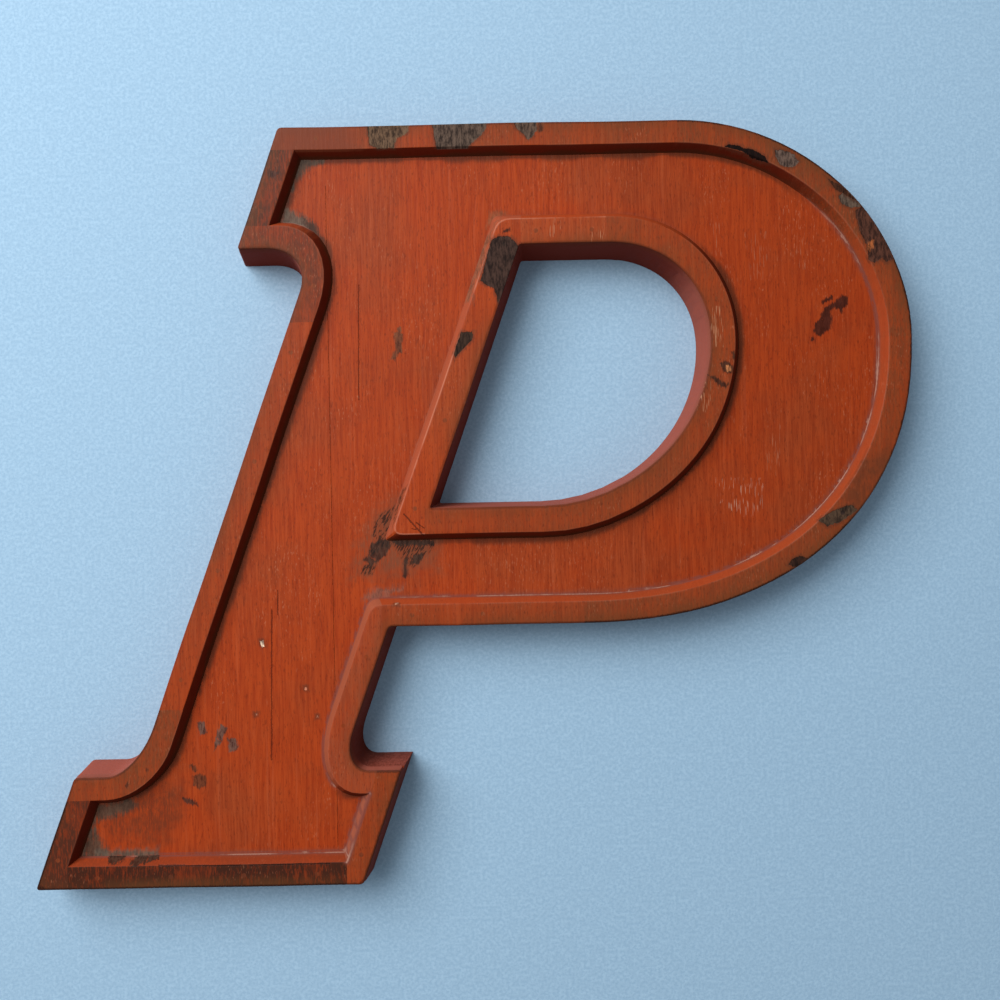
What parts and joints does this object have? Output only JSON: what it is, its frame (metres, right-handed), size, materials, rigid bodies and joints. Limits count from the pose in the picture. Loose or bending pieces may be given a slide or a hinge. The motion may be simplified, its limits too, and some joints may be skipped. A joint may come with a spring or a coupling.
{
  "type": "wooden sign letter",
  "caption": "Slanted slab-serif capital letter P of painted wood with drafted edges, a sunk panel and raised strips round the outline and the counter.",
  "frame": {"origin": "under the middle of the letter's bounding box, on the plane of its flat back", "axes": "+X from the stem towards the bowl, +Y from the foot up to the cap line, +Z out of the face"},
  "size_m": [0.361, 0.3086, 0.0218],
  "materials": {
    "painted_board": "orange-red oil paint brushed over upright grain, worn satin, with dust in the corners and small dark marks",
    "painted_strip": "the same orange-red paint, browner along the edges, with dark chips down to bare old wood",
    "brad_steel": "dull steel brads, painted over at the face"
  },
  "bodies": {
    "root": {"board_left": "painted_board", "board_middle": "painted_board", "board_right": "painted_board", "rim_top": "painted_strip", "rim_bowl_upper": "painted_strip", "rim_bowl_lower": "painted_strip", "rim_arm": "painted_strip", "rim_stem_right": "painted_strip", "rim_foot_right": "painted_strip", "rim_base": "painted_strip", "rim_foot_left": "painted_strip", "rim_bracket_left": "painted_strip", "rim_stem_left": "painted_strip", "rim_bracket_head": "painted_strip", "rim_head": "painted_strip", "counter_rim_stem": "painted_strip", "counter_rim_top": "painted_strip", "counter_rim_bowl": "painted_strip", "counter_rim_arm": "painted_strip", "rim_brads": "brad_steel"}
  },
  "joints": []
}
